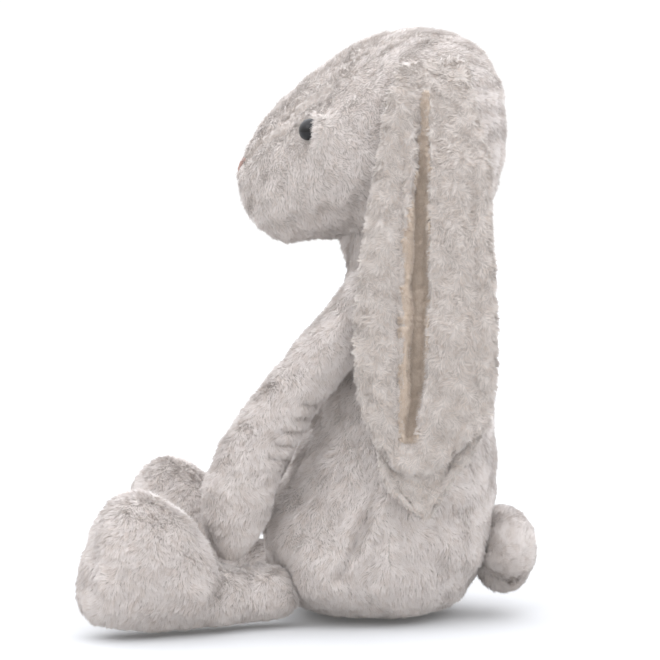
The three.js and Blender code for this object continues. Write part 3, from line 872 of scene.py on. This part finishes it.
def in_channel(points, facing, spare):
    """1 inside an ear's channel, with spare millimetres left beside it."""
    heights, front, back = CHANNEL
    inside = ((points[:, 1] > np.interp(points[:, 2], heights, front) + spare * MM)
              & (points[:, 1] < np.interp(points[:, 2], heights, back) - spare * MM)
              & (points[:, 2] > heights.min() - 12 * MM)
              & (points[:, 2] < heights.max() + 22 * MM) & (facing[:, 0] > 0.1))
    return inside.astype(float)


def ear_relief(points, facing):
    """Round rolls beside the channel, the cuff where they meet above the tip, and a full
    back edge."""
    outer = smoothstep(0.0, 0.45, facing[:, 0])
    heights, front, back = CHANNEL
    y, z = points[:, 1], points[:, 2]
    middle = np.interp(z, heights, (front + back) / 2)
    span = smoothstep(138 * MM, 156 * MM, z) * (1 - smoothstep(376 * MM, 402 * MM, z))
    proud = 1.3 * np.exp(-((y - middle) / (7.0 * MM)) ** 2) * span
    proud += 2.2 * np.exp(-((y - middle + 20 * MM) / (9 * MM)) ** 2) * span
    proud += 2.2 * np.exp(-((y - middle - 27 * MM) / (13 * MM)) ** 2) * span
    below = np.interp(y, CUFF[:, 0], CUFF[:, 1]) - z
    proud += -8.0 * smoothstep(0.0, 5 * MM, below) * (1 - 0.7 * smoothstep(
        12 * MM, 34 * MM, below))
    proud += 1.8 * np.exp(-((below + 5 * MM) / (6 * MM)) ** 2)
    rear = 6.0 * smoothstep(0.2, 0.85, facing[:, 1]) * (1 - smoothstep(330 * MM, 390 * MM, z))
    return proud * outer + rear * smoothstep(130 * MM, 190 * MM, z)


def ear_length(points):
    """Fleece is clipped beside the channel and in the fold under the cuff."""
    heights, front, back = CHANNEL
    y, z = points[:, 1], points[:, 2]
    aside = np.maximum(np.interp(z, heights, front) - y, y - np.interp(z, heights, back))
    below = np.interp(y, CUFF[:, 0], CUFF[:, 1]) - z
    fold = np.exp(-((below - 4 * MM) / (4 * MM)) ** 2)
    return (0.6 + 0.4 * smoothstep(0.0, 6 * MM, aside)) * (1 - 0.35 * fold)


def lining_sheet(name, ear):
    """The smooth lining: a thin sheet over the floor and the walls of an ear's channel."""
    bm = bmesh.new()
    bm.from_mesh(ear.data)
    centres = np.array([face.calc_center_median() for face in bm.faces])
    facing = np.array([face.normal for face in bm.faces])
    inside = in_channel(mirrored(centres), mirrored(facing, centres), -3.0)
    spare = [face for face, kept in zip(list(bm.faces), inside) if not kept]
    bmesh.ops.delete(bm, geom=spare, context="FACES")
    largest_island(bm)
    bm.normal_update()
    for vert in bm.verts:
        vert.co += vert.normal * 0.7 * MM
    bmesh.ops.solidify(bm, geom=bm.faces[:], thickness=1.2 * MM)
    bmesh.ops.recalc_face_normals(bm, faces=bm.faces)
    mesh = bpy.data.meshes.new(name)
    bm.to_mesh(mesh)
    bm.free()
    shade_smooth(mesh)
    mesh.materials.clear()
    mesh.materials.append(materials["lining_backing"])
    return new_object(name, mesh)


def leg_relief(points, facing):
    """The crease over the ankle, small tucks beside it, and a thigh that goes in at the hip."""
    tucks = -3.0 * groove(points, [(52, -52, 52), (76, -68, 62), (96, -60, 48)], 5.0)
    tucks += -1.8 * groove(points, [(108, -78, 24), (100, -70, 10)], 3.0)
    tucks += -1.6 * groove(points, [(116, -92, 22), (110, -84, 9)], 3.0)
    tucks += -12.0 * blob(points, (98, -6, 34), (16, 22, 26))
    tucks += -5.0 * blob(points, (100, -160, 66), (44, 20, 26))
    return tucks + 10.0 * blob(points, (54, -18, 28), (26, 16, 24))


for side, sign in SIDES.items():
    arm_nodes = [f"arm_outer_{side}", f"arm_inner_{side}", f"arm_stuffing_{side}"]
    arm = cover(f"arm_cover_{side}", f"arm_{side}", arm_nodes, arm_nodes[:2], inset=2.6 * MM,
                voxel=4 * MM, seed=7 + int(sign), relief=arm_relief)
    grow_pile(f"arm_pile_{side}", arm, f"arm_{side}", PILE_COUNTS["arm"], "combed", downward,
              41 + int(sign))
    leg_nodes = [f"leg_outer_{side}", f"leg_inner_{side}", f"foot_sole_{side}",
                 f"leg_stuffing_{side}"]
    leg = cover(f"leg_cover_{side}", f"leg_{side}", leg_nodes, leg_nodes[:3], inset=2.8 * MM,
                voxel=4 * MM, seed=11 + int(sign), relief=leg_relief)
    grow_pile(f"leg_pile_{side}", leg, f"leg_{side}", PILE_COUNTS["leg"], "combed",
              lambda points, facing: np.broadcast_to(np.array([0.0, -0.5, -1.0]), points.shape),
              51 + int(sign), scale=floor_scale)
    ear_nodes = [f"ear_outer_{side}"]
    ear = cover(f"ear_cover_{side}", f"ear_{side}", ear_nodes, ear_nodes, inset=2.4 * MM,
                voxel=2.4 * MM, seed=15 + int(sign), relief=ear_relief,
                pressure=1.0, cap=1 * MM, levels=0, smoothing=3)
    grow_pile(f"ear_pile_{side}", ear, f"ear_{side}", PILE_COUNTS["ear"], "fleece", downward,
              61 + int(sign), material="fleece", scale=ear_length,
              keep=lambda centres, facing: (1 - in_channel(
                  mirrored(centres), mirrored(facing, centres), -0.8)))
    lining = lining_sheet(f"ear_lining_cover_{side}", ear)
    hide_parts(f"ear_lining_{side}")
    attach(lining, f"ear_{side}")
    grow_pile(f"ear_lining_pile_{side}", lining, f"ear_{side}", PILE_COUNTS["lining"],
              "short", downward, 71 + int(sign), material="lining",
              keep=lambda centres, facing: (facing[:, 0] * np.sign(centres[:, 0]) > 0.25
                                            ).astype(float))

TAIL_LOW, TAIL_HIGH = (np.array(corner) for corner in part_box("tail_cover"))
TAIL_MIDDLE, TAIL_REACH = (TAIL_LOW + TAIL_HIGH) / 2, (TAIL_HIGH - TAIL_LOW) / 2


def pompom():
    """The gathered round cover of the tail."""
    bm = bmesh.new()
    bmesh.ops.create_icosphere(bm, subdivisions=5, radius=1.0)
    mesh = bpy.data.meshes.new("tail_base")
    bm.to_mesh(mesh)
    bm.free()
    around = coordinates(mesh)
    set_coordinates(mesh, TAIL_MIDDLE + around * (TAIL_REACH - 2.5 * MM)
                    + 0.6 * MM * around * waves(around, 0.9, 19)[:, None])
    shade_smooth(mesh)
    mesh.materials.append(materials["backing"])
    return new_object("tail_base", mesh)


tail = pompom()
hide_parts("tail_cover", "tail_stuffing")
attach(tail, "torso")


def over_the_tail(points, facing):
    """Away from where the tail is sewn on."""
    return points - TAIL_MIDDLE + TAIL_REACH * np.array([0.0, 1.0, 0.2])


grow_pile("tail_pile", tail, "torso", PILE_COUNTS["tail"], "pompom", over_the_tail, 81)

# ---------------------------------------------------------------- camera, floor and light
TARGET = Vector((0.0, 0.013, 0.214))
camera_data = bpy.data.cameras.new("camera")
camera = bpy.data.objects.new("camera", camera_data)
scene.collection.objects.link(camera)
AZIMUTH, ELEVATION, DISTANCE = math.radians(93.0), math.radians(4.0), 2.0
out = Vector((math.sin(AZIMUTH) * math.cos(ELEVATION), -math.cos(AZIMUTH) * math.cos(ELEVATION),
              math.sin(ELEVATION)))
camera.location = TARGET + out * DISTANCE
camera.rotation_euler = (-out).to_track_quat("-Z", "Y").to_euler()
SENSOR_WIDTH, WIDTH_IN_VIEW = 36.0, 0.495
camera_data.sensor_width = SENSOR_WIDTH
camera_data.lens = SENSOR_WIDTH * DISTANCE / WIDTH_IN_VIEW
scene.camera = camera

floor_mesh = bpy.data.meshes.new("floor")
FLOOR_HALF = 6
floor_mesh.from_pydata([(x * FLOOR_HALF, y * FLOOR_HALF, 0)
                        for x, y in ((-1, -1), (1, -1), (1, 1), (-1, 1))], [], [(0, 1, 2, 3)])
floor = new_object("floor", floor_mesh)
floor_mesh.materials.append(floor_material())

world = bpy.data.worlds.new("studio")
scene.world = world
world.use_nodes = True
# The studio is white at the horizon and brighter overhead, like a large soft box.
HORIZON, ZENITH = (1.0, 1.0, 1.0, 1.0), (2.5, 2.56, 2.7, 1.0)
world_nodes, world_links = world.node_tree.nodes, world.node_tree.links
background = world_nodes["Background"]
around = world_nodes.new("ShaderNodeTexCoord")
parts = world_nodes.new("ShaderNodeSeparateXYZ")
rise = world_nodes.new("ShaderNodeMapRange")
rise.interpolation_type = "SMOOTHSTEP"
rise.inputs["From Min"].default_value = 0.08
rise.inputs["From Max"].default_value = 0.85
sky = world_nodes.new("ShaderNodeMix")
sky.data_type = "RGBA"
sky.clamp_result = False
sky.inputs["A"].default_value = HORIZON
sky.inputs["B"].default_value = ZENITH
world_links.new(around.outputs["Generated"], parts.inputs["Vector"])
world_links.new(parts.outputs["Z"], rise.inputs["Value"])
world_links.new(rise.outputs["Result"], sky.inputs["Factor"])
world_links.new(sky.outputs["Result"], background.inputs["Color"])
background.inputs["Strength"].default_value = 1.0


def area_light(name, place, size, power):
    light = bpy.data.lights.new(name, "AREA")
    light.shape = "SQUARE"
    light.size = size
    light.energy = power
    obj = bpy.data.objects.new(name, light)
    obj.location = place
    obj.rotation_euler = (TARGET - Vector(place)).to_track_quat("-Z", "Y").to_euler()
    scene.collection.objects.link(obj)


area_light("key", (1.2, -1.3, 1.6), 0.9, 2)
scene.view_settings.view_transform = "Standard"
scene.view_settings.exposure = 0.08
